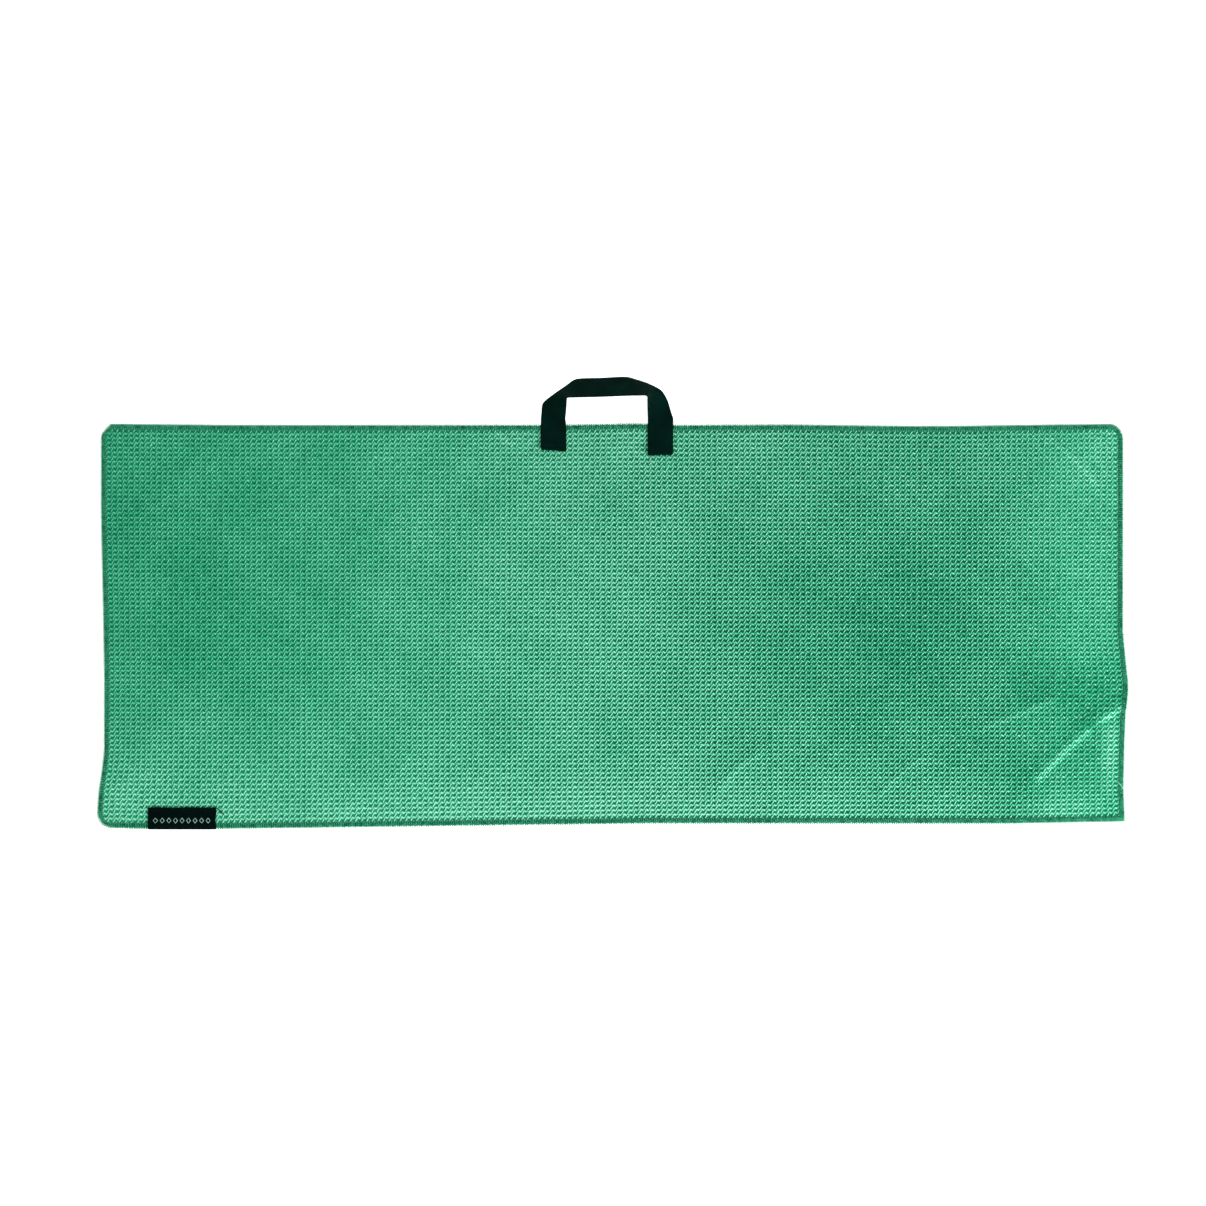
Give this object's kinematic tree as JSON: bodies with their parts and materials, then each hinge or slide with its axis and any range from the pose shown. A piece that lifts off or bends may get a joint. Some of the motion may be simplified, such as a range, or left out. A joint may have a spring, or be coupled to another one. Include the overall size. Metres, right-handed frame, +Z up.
{
  "type": "golf towel",
  "caption": "Waffle-weave microfibre golf towel with serged edges, a webbing hanging loop on one long edge and a folded woven label, folding in thirds.",
  "frame": {"origin": "on the surface the towel lies on, under the middle of the outline of cloth, label and loop", "axes": "+X along the long edge, +Y across the towel towards the hanging loop, +Z up out of its face"},
  "size_m": [1.016, 0.4459, 0.0204],
  "materials": {
    "waffle_cloth": "matte",
    "edge_thread": "matte",
    "webbing": "matte",
    "label_cloth": "matte",
    "sewing_thread": "matte"
  },
  "bodies": {
    "centre": {"towel_panel_centre": "waffle_cloth", "overlock_face_thread_top": "edge_thread", "overlock_back_thread_top": "edge_thread", "overlock_needle_thread_top": "edge_thread", "overlock_face_thread_bottom": "edge_thread", "overlock_back_thread_bottom": "edge_thread", "overlock_needle_thread_bottom": "edge_thread", "handle_end_left": "webbing", "handle_hem_stitch_left": "sewing_thread", "handle_edge_stitch_left": "sewing_thread", "handle_end_right": "webbing", "handle_hem_stitch_right": "sewing_thread", "handle_edge_stitch_right": "sewing_thread"},
    "left_wing": {"towel_panel_left": "waffle_cloth", "overlock_face_thread_left": "edge_thread", "overlock_back_thread_left": "edge_thread", "overlock_needle_thread_left": "edge_thread", "woven_label": "label_cloth", "label_stitch": "sewing_thread"},
    "right_wing": {"towel_panel_right": "waffle_cloth", "overlock_face_thread_right": "edge_thread", "overlock_back_thread_right": "edge_thread", "overlock_needle_thread_right": "edge_thread"},
    "handle": {"handle_loop": "webbing"}
  },
  "joints": [
    {"name": "left_fold", "type": "hinge", "parent": "centre", "child": "left_wing", "pos_m": [-0.174, 0, 0.0054], "axis": [0, 1, 0], "range_deg": [0, 180]},
    {"name": "right_fold", "type": "hinge", "parent": "centre", "child": "right_wing", "pos_m": [0.174, 0, 0.0082], "axis": [0, -1, 0], "range_deg": [0, 180]},
    {"name": "loop_flop", "type": "hinge", "parent": "centre", "child": "handle", "pos_m": [-0.0045, 0.1802, 0.0036], "axis": [1, 0, 0], "range_deg": [0, 90]}
  ]
}
